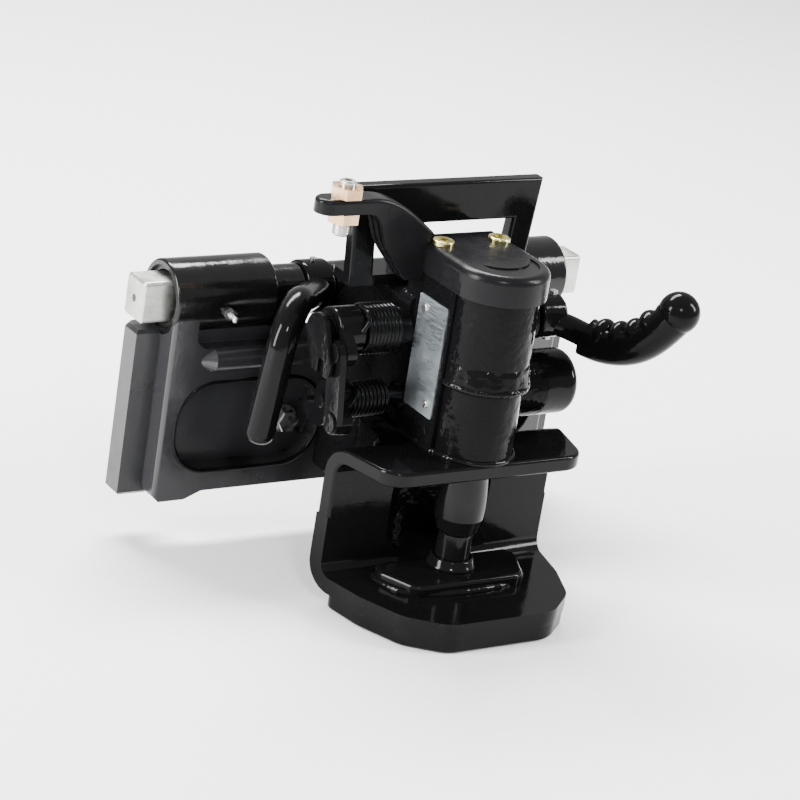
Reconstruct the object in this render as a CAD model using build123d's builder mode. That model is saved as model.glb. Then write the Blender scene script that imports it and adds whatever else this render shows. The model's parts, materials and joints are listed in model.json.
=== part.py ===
from build123d import *
from math import atan2, cos, degrees, radians, sin
import os

# Automatic trailer coupling on a height-adjustable carrier, in millimetres.
# Origin: on the coupling pin's axis, half way up the jaw's mouth.
# +Z up, -Y out of the jaw's mouth, +X towards the hand lever.

FIT = 0.05                # radial clearance of a shaft or slide in its bore

# Jaw and coupling pin
JAW_GAP = 90.0            # clear height of the mouth
JAW_PLATE = 12.0          # thickness of the bent jaw plate
JAW_BACK_HALF = 100.0     # half width at the back wall
JAW_BACK_Y = 38.0         # rear face of the back wall
UPPER_FRONT_HALF = 84.0
UPPER_FRONT_Y = -30.0
LOWER_FRONT_Y = -75.0
THROAT_HALF = 44.0        # half width of the throat opening
THROAT_HALF_Z = 34.0      # half height of the throat opening
THROAT_R = 58.0           # back of the throat, about the pin's axis
PIN_BELLY_R = 19.0
PIN_NECK_R = 17.5
PIN_SHOULDER_R = 15.5
PIN_STEM_R = 13.0
PIN_BOTTOM_Z = -62.0
PIN_TOP_Z = 112.0
WEAR_PLATE = 9.0
LOWER_BUSH_R = 17.0
UPPER_BUSH_R = 24.0
UPPER_BUSH_TOP = 74.0

# Housing and lid
HOUSING_R = 32.0
HOUSING_LOW_R = 30.5
HOUSING_HALF = 34.0       # half width between the flat sides
HOUSING_TOP = 190.0
RIDGE_Z = 114.0           # weld ridge round the front cylinder
CAVITY_R = 27.0
CAVITY_HALF = 18.0
CAVITY_FLOOR = 76.0
NECK_HALF = 38.0
NECK_TOP = 160.0
NECK_BOTTOM = -18.0
LID_R = 36.0
LID_TOP = 203.0
LID_SKIRT = 181.0         # lower rim of the lid's front skirt
LID_REAR_Y = 66.0
CAP_R = 25.0              # boss and cap of the trigger shaft on the right
SHAFT_BOSS_R = 15.8
TRIGGER_BOSS_R = 18.0
HANDLE_Y = 79.0           # top handle
HANDLE_HALF = 82.0
HANDLE_Z = 237.0
ARM_FRONT_Y, ARM_REAR_Y = 45.0, 65.0
EYE_X, EYE_Y = -104.0, 55.0
EYE_Z0, EYE_Z1 = 227.0, 238.0
ADJUSTER_R = 6.0
BOLT_X = 24.5             # lid bolts

# Lever shaft, trigger shaft and the lift of the pin
SHAFT_Y, SHAFT_Z = 60.0, 133.0
SHAFT_R = 11.0
SHAFT_STEP_R = 7.5        # left end of the main shaft, past the link bar
SHAFT_BUSH_R = 13.5
TRIGGER_Y, TRIGGER_Z = 52.0, 82.0
TRIGGER_R = 7.0
TRIGGER_BUSH_R = 9.5
LIFT = 75.0
LIFT_ANGLE = degrees(atan2(LIFT / 2, SHAFT_Y))   # half of the lever's swing
STUD_R = 5.0
STUD_Z = SHAFT_Z - LIFT / 2
CRANK_Y, CRANK_Z = -19.0, -9.0                   # crank of both levers on the left
LEFT_LEVER_X = -98.0                             # outer face of both left levers
LEVER_HUB = 22.0
SHAFT_BOSS_X = -45.0      # left end of the boss round the main shaft
CABLE_LEVER_X = -109.0    # outer face of the cable lever
CABLE_LEVER_IN_X = -105.4

# Carrier
CARRIER_HALF = 195.0      # half of the width over the guide bars
AXIS_Y, AXIS_Z = 172.0, 122.0                    # axis of the locking pins
PLATE_HALF = 175.0
PLATE_FRONT_Y = 146.0
PLATE_REAR_Y = 165.0
PLATE_FOOT_Z = -34.0
PLATE_MID_Z = -28.0
GUIDE_INNER = 155.0
GUIDE_DEPTH = 25.0
GUIDE_TOP = 98.0
GUIDE_BOTTOM = -35.0
TUBE_R = 28.0
TUBE_INNER_X = 90.0
LOCK_BUSH_R = 23.5
LOCK_PIN_R = 20.0
LOCK_SKIRT_R = 14.5
LOCK_HEIGHT = 32.0        # square end of a locking pin
LOCK_DEPTH = 27.0
LOCK_END_X = 197.0
LOCK_TRAVEL = 22.0
CROSS_SHAFT_R = 10.0
CROSS_SHAFT_END = 130.0
CROSS_TUBE_R = 18.5
ADJUST_ANGLE = 75.0       # swing of the adjuster handle
LUG_X = -47.0
FOLLOWER_X = 105.0
FOLLOWER_R = 3.5


def at_x(x):
    """Plane across X: its local axes are Y and Z, and it extrudes towards +X."""
    return Plane.YZ.offset(x)


def at_y(y):
    """Plane across Y: its local axes are X and Z, and it extrudes towards -Y."""
    return Plane.XZ.offset(-y)


def at_z(z):
    """Plane across Z: its local axes are X and Y, and it extrudes towards +Z."""
    return Plane.XY.offset(z)


def disc_x(x0, x1, y, z, radius, mode=Mode.ADD):
    """Round bar along X between x0 and x1, for use inside a part."""
    with BuildSketch(at_x(x0)) as profile:
        with Locations((y, z)):
            Circle(radius)
    extrude(profile.sketch, amount=x1 - x0, mode=mode)


def disc_z(z0, z1, x, y, radius, mode=Mode.ADD):
    """Round bar along Z between z0 and z1, for use inside a part."""
    with BuildSketch(at_z(z0)) as profile:
        with Locations((x, y)):
            Circle(radius)
    extrude(profile.sketch, amount=z1 - z0, mode=mode)


def block(x0, x1, y0, y1, z0, z1, mode=Mode.ADD):
    """Box between two corners, for use inside a part."""
    with Locations(((x0 + x1) / 2, (y0 + y1) / 2, (z0 + z1) / 2)):
        Box(x1 - x0, y1 - y0, z1 - z0, mode=mode)


def write(part, name):
    part.label = name
    export_step(part, f"parts/{name}.step")


# Jaw

def plan_outline(points, radii):
    """Closed plan outline, symmetric about X = 0, from its right-hand points."""
    left = [(-x, y) for x, y in reversed(points)]
    with BuildLine() as line:
        Polyline(*points, *left, close=True)
    with BuildSketch() as sketch:
        make_face(line.wires()[0])
        for (x, y), radius in radii:
            corners = sketch.vertices().filter_by(
                lambda v: abs(abs(v.X) - x) < 0.01 and abs(v.Y - y) < 0.01)
            fillet(corners, radius)
    return sketch.sketch


UPPER_POINTS = [(JAW_BACK_HALF, JAW_BACK_Y), (UPPER_FRONT_HALF, UPPER_FRONT_Y)]
LOWER_POINTS = [(JAW_BACK_HALF, JAW_BACK_Y), (88, -16), (73, -52), (45, LOWER_FRONT_Y)]
LOWER_RADII = [((88, -16), 50), ((73, -52), 26), ((45, LOWER_FRONT_Y), 28)]


def make_jaw():
    top = JAW_GAP / 2 + JAW_PLATE
    front = LOWER_FRONT_Y - 2
    bend = 22.0
    with BuildPart() as jaw:
        with BuildSketch(at_x(-JAW_BACK_HALF)):
            with BuildLine():
                FilletPolyline((front, top), (JAW_BACK_Y, top), (JAW_BACK_Y, -top),
                               (front, -top), radius=bend)
                Line((front, -top), (front, -top + JAW_PLATE))
                FilletPolyline((front, -top + JAW_PLATE), (JAW_BACK_Y - JAW_PLATE, -top + JAW_PLATE),
                               (JAW_BACK_Y - JAW_PLATE, top - JAW_PLATE), (front, top - JAW_PLATE),
                               radius=bend - JAW_PLATE)
                Line((front, top - JAW_PLATE), (front, top))
            make_face()
        extrude(amount=2 * JAW_BACK_HALF)
        upper = plan_outline(UPPER_POINTS, [((UPPER_FRONT_HALF, UPPER_FRONT_Y), 20)])
        lower = plan_outline(LOWER_POINTS, LOWER_RADII)
        shape = extrude(at_z(0) * upper, amount=top + 1, mode=Mode.PRIVATE)
        shape += extrude(at_z(-top - 1) * lower, amount=top + 1, mode=Mode.PRIVATE)
        add(shape, mode=Mode.INTERSECT)
        with BuildSketch(at_y(JAW_BACK_Y + 1)):
            RectangleRounded(2 * THROAT_HALF, 2 * THROAT_HALF_Z, 20)
        extrude(amount=JAW_PLATE + 2, mode=Mode.SUBTRACT)
        disc_z(0, top + 1, 0, 0, UPPER_BUSH_R + FIT, Mode.SUBTRACT)
        disc_z(-top - 1, 0, 0, 0, LOWER_BUSH_R + FIT, Mode.SUBTRACT)
        rims = jaw.edges().filter_by(lambda e: abs(e.center().Z) > JAW_GAP / 2 - 1
                                     and e.center().Y < 0 and e.center().Z > 0)
        lip = rims.filter_by(GeomType.LINE).filter_by(Axis.X)
        fillet(lip, 2.5)
    return jaw.part


def make_jaw_bottom_plate():
    top = -JAW_GAP / 2 - JAW_PLATE
    points = [(94, JAW_BACK_Y - 14), (87, -16), (72, -52), (44.5, LOWER_FRONT_Y + 1)]
    radii = [((94, JAW_BACK_Y - 14), 10), ((87, -16), 50), ((72, -52), 26), ((44.5, LOWER_FRONT_Y + 1), 28)]
    with BuildPart() as plate:
        extrude(at_z(top - JAW_PLATE) * plan_outline(points, radii), amount=JAW_PLATE)
        chamfer(plate.faces().sort_by(Axis.Z)[0].edges(), 1.5)
        disc_z(top - JAW_PLATE, top, 0, 0, LOWER_BUSH_R + FIT, Mode.SUBTRACT)
    return plate.part


def make_wear_plate():
    points = [(58, 14), (62, 3), (47, -30)]
    radii = [((58, 14), 5), ((62, 3), 10), ((47, -30), 12)]
    with BuildPart() as plate:
        extrude(at_z(-JAW_GAP / 2) * plan_outline(points, radii), amount=WEAR_PLATE)
        fillet(plate.faces().sort_by(Axis.Z)[-1].edges(), 3)
        disc_z(-JAW_GAP / 2, -JAW_GAP / 2 + WEAR_PLATE, 0, 0, LOWER_BUSH_R + FIT, Mode.SUBTRACT)
    return plate.part


def make_bush(z0, z1, outer, bore):
    with BuildPart() as bush:
        with BuildSketch(at_z(z0)):
            Circle(outer)
            Circle(bore, mode=Mode.SUBTRACT)
        extrude(amount=z1 - z0)
        chamfer(bush.edges().group_by(Axis.Z)[-1], 1)
    return bush.part


def make_coupling_pin():
    flat = 10.3
    with BuildPart() as pin:
        with BuildSketch(Plane.XZ):
            with BuildLine():
                Polyline((0, PIN_BOTTOM_Z), (PIN_STEM_R - 4, PIN_BOTTOM_Z),
                         (PIN_STEM_R, PIN_BOTTOM_Z + 6), (PIN_STEM_R, -9), (PIN_SHOULDER_R, -6),
                         (PIN_BELLY_R - 0.4, 5))
                ThreePointArc((PIN_BELLY_R - 0.4, 5), (PIN_BELLY_R, 14), (PIN_BELLY_R - 0.4, 23))
                Polyline((PIN_BELLY_R - 0.4, 23), (PIN_NECK_R, 36), (PIN_NECK_R, 43),
                         (PIN_BELLY_R, 46), (PIN_BELLY_R, PIN_TOP_Z - 3),
                         (PIN_BELLY_R - 3, PIN_TOP_Z), (0, PIN_TOP_Z), (0, PIN_BOTTOM_Z))
            make_face()
        revolve(axis=Axis.Z)
        for side in (-1, 1):
            inner, outer = sorted((side * flat, side * (PIN_BELLY_R + 1)))
            block(inner, outer, -20, 20, UPPER_BUSH_TOP - 10, PIN_TOP_Z + 1, Mode.SUBTRACT)
        disc_x(-20, 20, 0, STUD_Z, STUD_R + FIT, Mode.SUBTRACT)
    return pin.part


def make_lifting_stud():
    half = 17.0
    with BuildPart() as stud:
        disc_x(-half, half, 0, STUD_Z, STUD_R)
        chamfer(stud.edges().filter_by(GeomType.CIRCLE), 0.8)
    return stud.part


# Housing

def finger_slot():
    """Space that the trigger finger sweeps through, as a solid to cut away."""
    reach = 72.0
    with BuildPart() as space:
        with BuildSketch(at_x(-9.5)):
            with BuildLine():
                start = (TRIGGER_Y + reach * cos(radians(-9)), TRIGGER_Z + reach * sin(radians(-9)))
                middle = (TRIGGER_Y + reach * cos(radians(-57)), TRIGGER_Z + reach * sin(radians(-57)))
                end = (TRIGGER_Y + reach * cos(radians(-106)), TRIGGER_Z + reach * sin(radians(-106)))
                ThreePointArc(start, middle, end)
                Polyline(end, (TRIGGER_Y - 12, TRIGGER_Z), (TRIGGER_Y, TRIGGER_Z + 14), start)
            make_face()
            with Locations((TRIGGER_Y, TRIGGER_Z)):
                Circle(16.5)
        extrude(amount=19)
    return space.part


def make_head_casting():
    top = JAW_GAP / 2 + JAW_PLATE
    with BuildPart() as head:
        disc_z(top, RIDGE_Z, 0, 0, HOUSING_LOW_R)
        disc_z(RIDGE_Z, HOUSING_TOP, 0, 0, HOUSING_R)
        block(-HOUSING_HALF, HOUSING_HALF, 2, LID_REAR_Y - 3, top, HOUSING_TOP)
        with BuildSketch(at_x(-NECK_HALF)):
            with BuildLine():
                Polyline((50, top), (50, NECK_TOP), (118, NECK_TOP), (PLATE_FRONT_Y, 124),
                         (PLATE_FRONT_Y, NECK_BOTTOM), (104, NECK_BOTTOM), (80, 8), (80, top), (50, top))
            make_face()
        extrude(amount=2 * NECK_HALF)
        sides = head.edges().filter_by(Axis.Y).filter_by(lambda e: abs(e.center().X) > NECK_HALF - 1)
        fillet(sides, 8)
        disc_x(SHAFT_BOSS_X, 0, SHAFT_Y, SHAFT_Z, SHAFT_BOSS_R)
        disc_x(0, 74, SHAFT_Y, SHAFT_Z, SHAFT_BOSS_R + 5)
        disc_x(-HOUSING_HALF, 40, TRIGGER_Y, TRIGGER_Z, TRIGGER_BOSS_R)
        disc_x(0, 84, TRIGGER_Y, TRIGGER_Z, CAP_R)
        with BuildSketch(Plane.XZ):
            with Locations((HOUSING_R, RIDGE_Z)):
                Circle(3)
        revolve(axis=Axis.Z, revolution_arc=-180)
        disc_z(CAVITY_FLOOR, HOUSING_TOP, 0, 0, CAVITY_R, Mode.SUBTRACT)
        block(-CAVITY_HALF, CAVITY_HALF, 0, 50, CAVITY_FLOOR, HOUSING_TOP, Mode.SUBTRACT)
        block(-CAVITY_HALF, CAVITY_HALF, 40, SHAFT_Y + 20, SHAFT_Z - 25, SHAFT_Z + 19, Mode.SUBTRACT)
        block(-CAVITY_HALF, CAVITY_HALF, 40, SHAFT_Y + 3, SHAFT_Z, SHAFT_Z + 34, Mode.SUBTRACT)
        disc_z(top, CAVITY_FLOOR, 0, 0, UPPER_BUSH_R + FIT, Mode.SUBTRACT)
        disc_x(-60, 80, SHAFT_Y, SHAFT_Z, SHAFT_BUSH_R + FIT, Mode.SUBTRACT)
        disc_x(-60, 90, TRIGGER_Y, TRIGGER_Z, TRIGGER_BUSH_R + FIT, Mode.SUBTRACT)
        add(finger_slot(), mode=Mode.SUBTRACT)
        for side in (-1, 1):
            disc_z(HOUSING_TOP - 22, HOUSING_TOP, side * BOLT_X, 41, 4 + FIT, Mode.SUBTRACT)
            disc_z(NECK_TOP - 14, NECK_TOP, side * 24, HANDLE_Y + 14, 5 + FIT, Mode.SUBTRACT)
    return head.part


def make_throat_casting():
    top = JAW_GAP / 2 + JAW_PLATE
    half = 56.0
    with BuildPart() as throat:
        with BuildSketch(at_z(-top)):
            with BuildLine():
                FilletPolyline((-half, JAW_BACK_Y), (-half, 80), (half, 80), (half, JAW_BACK_Y), radius=20)
                Line((half, JAW_BACK_Y), (-half, JAW_BACK_Y))
            make_face()
        extrude(amount=2 * top)
        disc_z(-THROAT_HALF_Z, THROAT_HALF_Z, 0, 0, THROAT_R, Mode.SUBTRACT)
        add(finger_slot(), mode=Mode.SUBTRACT)
        disc_x(-1, half + 1, TRIGGER_Y, TRIGGER_Z, CAP_R, Mode.SUBTRACT)
    return throat.part


def make_trigger_cap():
    with BuildPart() as cap:
        disc_x(84, 114, TRIGGER_Y, TRIGGER_Z, CAP_R)
        fillet(cap.faces().sort_by(Axis.X)[-1].edges(), 8)
        disc_x(84, 106, TRIGGER_Y, TRIGGER_Z, 12, Mode.SUBTRACT)
    return cap.part


PLATE_RIVETS = ((35, 157), (16, 89))


def make_nameplate():
    y0, y1, z0, z1 = 7.0, 43.8, 80.0, 166.0
    with BuildPart() as plate:
        block(-HOUSING_HALF - 1, -HOUSING_HALF, y0, y1, z0, z1)
        fillet(plate.edges().filter_by(Axis.X), 2)
        for y, z in PLATE_RIVETS:
            disc_x(-HOUSING_HALF - 2, 0, y, z, 1.5 + FIT, Mode.SUBTRACT)
    return plate.part


def make_nameplate_rivets():
    with BuildPart() as rivets:
        for y, z in PLATE_RIVETS:
            disc_x(-HOUSING_HALF - 2.4, -HOUSING_HALF - 1, y, z, 3.2)
        fillet(rivets.faces().group_by(Axis.X)[0].edges(), 1)
        for y, z in PLATE_RIVETS:
            disc_x(-HOUSING_HALF - 1, -HOUSING_HALF, y, z, 1.5)
    return rivets.part


# Lid with its cable arm

def arm_profile(rise):
    """Side profile of the cable arm in X and Z; rise lifts its lower edge towards the flange."""
    with BuildSketch(at_y(ARM_REAR_Y)) as profile:
        with BuildLine():
            Line((-118, EYE_Z0), (-118, EYE_Z1))
            Line((-118, EYE_Z1), (-86, EYE_Z1))
            Spline((-86, EYE_Z1), (-50, 225.5), (-20, LID_TOP - 1), tangents=((1, 0), (1, -0.8)))
            Polyline((-20, LID_TOP - 1), (-20, HOUSING_TOP + 2), (-HOUSING_HALF, HOUSING_TOP - 13),
                     (-50 + rise, 175 + rise / 2))
            Spline((-50 + rise, 175 + rise / 2), (-72 + rise, 206 + rise / 2), (-90 + rise, EYE_Z0),
                   tangents=((-0.5, 0.86), (-1, 0)))
            Line((-90 + rise, EYE_Z0), (-118, EYE_Z0))
        make_face()
    return profile.sketch


def lid_outline(offset):
    radius = LID_R + offset
    with BuildSketch() as sketch:
        Circle(radius)
        with Locations((0, (LID_REAR_Y + offset) / 2)):
            Rectangle(2 * radius, LID_REAR_Y + offset)
    return sketch.sketch


def make_lid():
    rib = 5.0
    pitch = (ARM_REAR_Y - ARM_FRONT_Y - rib) / 2
    with BuildPart() as lid:
        extrude(at_z(HOUSING_TOP + 1) * lid_outline(0), amount=LID_TOP - HOUSING_TOP - 1)
        with BuildSketch(at_z(LID_SKIRT)):
            Circle(LID_R)
            Circle(HOUSING_R + 0.3, mode=Mode.SUBTRACT)
            with Locations((0, 24)):
                Rectangle(2 * LID_R + 2, 44, mode=Mode.SUBTRACT)
        extrude(amount=HOUSING_TOP + 1 - LID_SKIRT)
        with BuildSketch(at_z(LID_SKIRT)):
            for side in (-1, 1):
                with Locations((side * (HOUSING_HALF + LID_R + 0.3) / 2, 24)):
                    Rectangle(LID_R - HOUSING_HALF - 0.3, 56)
        extrude(amount=HOUSING_TOP + 1 - LID_SKIRT)
        fillet(lid.faces().sort_by(Axis.Z)[-1].edges(), 6)
        with BuildSketch(at_z(LID_TOP - 1.2)):
            with Locations((4, -2)):
                Circle(23)
                with Locations((-2, 15)):
                    Circle(26, mode=Mode.SUBTRACT)
        extrude(amount=3, mode=Mode.SUBTRACT)
        extrude(arm_profile(9), amount=ARM_REAR_Y - ARM_FRONT_Y)
        for step in range(3):
            extrude(Pos(0, -pitch * step, 0) * arm_profile(0), amount=rib)
        disc_z(EYE_Z0, EYE_Z1, -118, EYE_Y, (ARM_REAR_Y - ARM_FRONT_Y) / 2)
        flange = lid.edges().filter_by(lambda e: e.center().X < -60 and e.center().Z > EYE_Z1 - 8
                                       and abs(abs(e.center().Y - EYE_Y)) > 5)
        fillet(flange, 3)
        disc_z(EYE_Z0 - 1, EYE_Z1 + 1, EYE_X, EYE_Y, ADJUSTER_R + 0.5, Mode.SUBTRACT)
        for side in (-1, 1):
            disc_z(HOUSING_TOP, LID_TOP + 1, side * BOLT_X, 41, 4.5, Mode.SUBTRACT)
            disc_z(LID_TOP, LID_TOP + 20, side * BOLT_X, 41, 9.5, Mode.SUBTRACT)
        disc_z(HOUSING_TOP, HOUSING_TOP + 2, 0, 0, CAVITY_R, Mode.SUBTRACT)
        block(-HOUSING_HALF - 0.3, HOUSING_HALF + 0.3, 0, LID_REAR_Y - 2, LID_SKIRT - 16, HOUSING_TOP + 1,
              Mode.SUBTRACT)
    return lid.part


def make_lid_gasket():
    with BuildPart() as gasket:
        extrude(at_z(HOUSING_TOP) * lid_outline(-4.2), amount=1)
        disc_z(HOUSING_TOP, HOUSING_TOP + 1, 0, 0, CAVITY_R, Mode.SUBTRACT)
        block(-CAVITY_HALF, CAVITY_HALF, 0, 50, HOUSING_TOP, HOUSING_TOP + 1, Mode.SUBTRACT)
        for side in (-1, 1):
            disc_z(HOUSING_TOP, HOUSING_TOP + 1, side * BOLT_X, 41, 4.5, Mode.SUBTRACT)
    return gasket.part


def make_lid_bolts():
    head_r, head = 8.2, 3.4
    with BuildPart() as bolts:
        for side in (-1, 1):
            disc_z(HOUSING_TOP - 20, LID_TOP, side * BOLT_X, 41, 4)
            disc_z(LID_TOP, LID_TOP + head, side * BOLT_X, 41, head_r)
        fillet(bolts.faces().sort_by(Axis.Z)[-2:].edges(), 1.4)
        with BuildSketch(at_z(LID_TOP + head)):
            with Locations((-BOLT_X, 41), (BOLT_X, 41)):
                RegularPolygon(3.4, 6)
        extrude(amount=-3, mode=Mode.SUBTRACT)
    return bolts.part


def make_cable_adjuster():
    with BuildPart() as adjuster:
        disc_z(EYE_Z0 - 18, EYE_Z1 + 12, EYE_X, EYE_Y, ADJUSTER_R)
        chamfer(adjuster.edges().filter_by(GeomType.CIRCLE), 1)
        disc_z(EYE_Z0 - 18, EYE_Z1 + 12, EYE_X, EYE_Y, 3, Mode.SUBTRACT)
    return adjuster.part


def make_adjuster_nuts():
    with BuildPart() as nuts:
        for z in (EYE_Z1, EYE_Z0 - 7.5):
            with BuildSketch(at_z(z)):
                with Locations((EYE_X, EYE_Y)):
                    RegularPolygon(12.5, 6)
                    Circle(ADJUSTER_R + FIT, mode=Mode.SUBTRACT)
            extrude(amount=7.5)
    return nuts.part


# Top handle

def make_top_handle():
    leg_in, leg_out, foot, bar = 56.0, 76.0, NECK_TOP, 31.0
    front = HANDLE_Y - 4
    with BuildPart() as handle:
        with BuildSketch(at_y(front + 10)) as outline:
            with BuildLine():
                Polyline((-HANDLE_HALF, HANDLE_Z), (HANDLE_HALF, HANDLE_Z), (leg_out, foot), (leg_in, foot),
                         (leg_in + 4, HANDLE_Z - bar), (-leg_in - 4, HANDLE_Z - bar), (-leg_in, foot),
                         (-leg_out, foot), (-HANDLE_HALF, HANDLE_Z))
            make_face()
            fillet(outline.vertices().filter_by(lambda v: v.Z > foot + 1), 8)
        extrude(amount=10)
        fillet(handle.faces().sort_by(Axis.Y)[0].edges().filter_by(lambda e: e.center().Z > foot + 5), 2.5)
        block(-leg_out, leg_out, front, front + 30, foot, foot + 8)
        fillet(handle.edges().filter_by(Axis.Z).filter_by(lambda e: e.center().Y > front + 25), 8)
        for side in (-1, 1):
            disc_z(foot - 1, foot + 9, side * 24, HANDLE_Y + 14, 5.5, Mode.SUBTRACT)
    return handle.part


def make_top_handle_bolts():
    top = NECK_TOP + 8
    with BuildPart() as bolts:
        for side in (-1, 1):
            with BuildSketch(at_z(top)):
                with Locations((side * 24, HANDLE_Y + 14)):
                    RegularPolygon(9.8, 6)
            extrude(amount=7)
            disc_z(NECK_TOP - 12, top, side * 24, HANDLE_Y + 14, 5)
    return bolts.part


# Lever shaft and what turns with it

def make_shaft_bushes():
    with BuildPart() as bushes:
        for x0, x1 in ((SHAFT_BOSS_X, -20), (20, 74)):
            with BuildSketch(at_x(x0)):
                with Locations((SHAFT_Y, SHAFT_Z)):
                    Circle(SHAFT_BUSH_R)
                    Circle(SHAFT_R + FIT, mode=Mode.SUBTRACT)
            extrude(amount=x1 - x0)
    return bushes.part


def make_trigger_bushes():
    with BuildPart() as bushes:
        for x0, x1 in ((-HOUSING_HALF, -10), (10, 84)):
            with BuildSketch(at_x(x0)):
                with Locations((TRIGGER_Y, TRIGGER_Z)):
                    Circle(TRIGGER_BUSH_R)
                    Circle(TRIGGER_R + FIT, mode=Mode.SUBTRACT)
            extrude(amount=x1 - x0)
    return bushes.part


def make_main_shaft():
    with BuildPart() as shaft:
        disc_x(LEFT_LEVER_X, 104, SHAFT_Y, SHAFT_Z, SHAFT_R)
        chamfer(shaft.edges().filter_by(GeomType.CIRCLE), 1.2)
        disc_x(CABLE_LEVER_X, LEFT_LEVER_X, SHAFT_Y, SHAFT_Z, SHAFT_STEP_R)
        disc_z(SHAFT_Z - 12, SHAFT_Z + 12, 98, SHAFT_Y, 3 + FIT, Mode.SUBTRACT)
    return shaft.part


def fork_plane(x):
    """Plane across X at the shaft, with local x along the fork's arms at rest."""
    slope = radians(LIFT_ANGLE)
    return Plane(origin=(x, SHAFT_Y, SHAFT_Z), x_dir=(0, -cos(slope), -sin(slope)),
                 z_dir=(1, 0, 0))


def make_lifting_fork():
    inner, outer, tip, half, gap = 11.0, 16.0, 76.0, 12.5, 7.0
    with BuildPart() as fork:
        disc_x(-outer, outer, SHAFT_Y, SHAFT_Z, 17)
        for x in (-outer, inner):
            with BuildSketch(fork_plane(x)):
                with BuildLine():
                    Polyline((0, 17), (44, half), (tip - 8, half), (tip, gap), (50, gap))
                    ThreePointArc((50, gap), (50 - gap, 0), (50, -gap))
                    Polyline((50, -gap), (tip, -gap), (tip - 8, -half), (44, -half), (0, -17), (0, 17))
                make_face()
            extrude(amount=outer - inner)
        disc_x(-outer, outer, SHAFT_Y, SHAFT_Z, SHAFT_R + FIT, Mode.SUBTRACT)
    return fork.part


def make_hub_lever():
    thick = 8.0
    crank = (SHAFT_Y + CRANK_Y, SHAFT_Z + CRANK_Z)
    with BuildPart() as lever:
        disc_x(LEFT_LEVER_X, LEFT_LEVER_X + LEVER_HUB, SHAFT_Y, SHAFT_Z, 18)
        fillet(lever.edges().filter_by(GeomType.CIRCLE), 2)
        with BuildSketch(at_x(LEFT_LEVER_X)):
            with Locations((SHAFT_Y, SHAFT_Z)):
                Circle(16)
            with Locations(crank):
                Circle(10.5)
            make_hull()
        extrude(amount=thick)
        disc_x(LEFT_LEVER_X - 1, 0, SHAFT_Y, SHAFT_Z, SHAFT_R + FIT, Mode.SUBTRACT)
        disc_x(LEFT_LEVER_X - 1, 0, *crank, 5 + FIT, Mode.SUBTRACT)
    return lever.part


def make_cable_lever():
    slot_y, fork_z = SHAFT_Y - 11, SHAFT_Z - 20
    with BuildPart() as lever:
        with BuildSketch(at_x(CABLE_LEVER_X)):
            with Locations((SHAFT_Y, SHAFT_Z)):
                Circle(14.5)
            with Locations((slot_y, fork_z)):
                RectangleRounded(25, 16, 5)
            make_hull()
            with Locations((slot_y, fork_z - 4)):
                Rectangle(8, 14, mode=Mode.SUBTRACT)
            with Locations((SHAFT_Y, SHAFT_Z)):
                Circle(SHAFT_STEP_R + FIT, mode=Mode.SUBTRACT)
        extrude(amount=CABLE_LEVER_IN_X - CABLE_LEVER_X)
        chamfer(lever.faces().sort_by(Axis.X)[0].outer_wire().edges(), 0.8)
    return lever.part


LEVER_ROUTE = [(93, SHAFT_Y - 6, SHAFT_Z - 3), (106, 43, 128), (116, 28.5, 124.5), (125, 9.8, 125),
               (131, -3, 131)]


def lever_arm(radius):
    """Round arm from the shaft into the grip."""
    with BuildPart() as arm:
        with BuildLine():
            path = Spline(*LEVER_ROUTE)
        with BuildSketch(Plane(origin=path @ 0, z_dir=path % 0)):
            Circle(radius)
        sweep(path=path)
    return arm.part


def make_hand_lever():
    with BuildPart() as lever:
        disc_x(81, 104, SHAFT_Y, SHAFT_Z, 17)
        fillet(lever.edges().filter_by(GeomType.CIRCLE), 3)
        add(lever_arm(9.5))
        disc_x(81, 104, SHAFT_Y, SHAFT_Z, SHAFT_R + FIT, Mode.SUBTRACT)
        disc_z(SHAFT_Z - 18, SHAFT_Z + 18, 98, SHAFT_Y, 3 + FIT, Mode.SUBTRACT)
    return lever.part


GRIP_POINTS = [(114, 32, 125), (125, 10, 125.5), (133, -8, 134.5), (140, -21, 150), (146, -30, 166)]
GRIP_R = 15.0
GRIP_BALL_R = 16.0


def grip_path():
    with BuildLine() as line:
        Spline(*GRIP_POINTS)
    return line.line


def make_hand_grip():
    path = grip_path()
    with BuildPart() as grip:
        with BuildSketch(Plane(origin=path @ 0, z_dir=path % 0)):
            Circle(GRIP_R)
        sweep(path=path)
        with Locations(path @ 1):
            Sphere(GRIP_BALL_R)
        for t in (0.3, 0.48, 0.66, 0.84):
            place = Plane(origin=path @ t, z_dir=path % t)
            up = Vector(0, 0.35, 1) - place.z_dir * Vector(0, 0.35, 1).dot(place.z_dir)
            with Locations(Plane(origin=(path @ t) + up.normalized() * (GRIP_R + 5), x_dir=place.z_dir,
                                 z_dir=place.z_dir.cross(up.normalized()))):
                Cylinder(9, 60, mode=Mode.SUBTRACT)
        add(lever_arm(9.5 + FIT), mode=Mode.SUBTRACT)
    return grip.part


def make_lever_pin():
    with BuildPart() as pin:
        disc_z(SHAFT_Z - 19.5, SHAFT_Z + 19.5, 98, SHAFT_Y, 3)
    return pin.part


# Link and trigger

def make_link_bar():
    x0, x1 = LEFT_LEVER_X - 5.3, LEFT_LEVER_X - 0.3
    ends = ((SHAFT_Y + CRANK_Y, SHAFT_Z + CRANK_Z), (TRIGGER_Y + CRANK_Y, TRIGGER_Z + CRANK_Z))
    with BuildPart() as bar:
        with BuildSketch(at_x(x0)):
            with Locations(*ends):
                Circle(9)
            make_hull()
            with Locations(*ends):
                Circle(5 + FIT, mode=Mode.SUBTRACT)
        extrude(amount=x1 - x0)
    return bar.part


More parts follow.
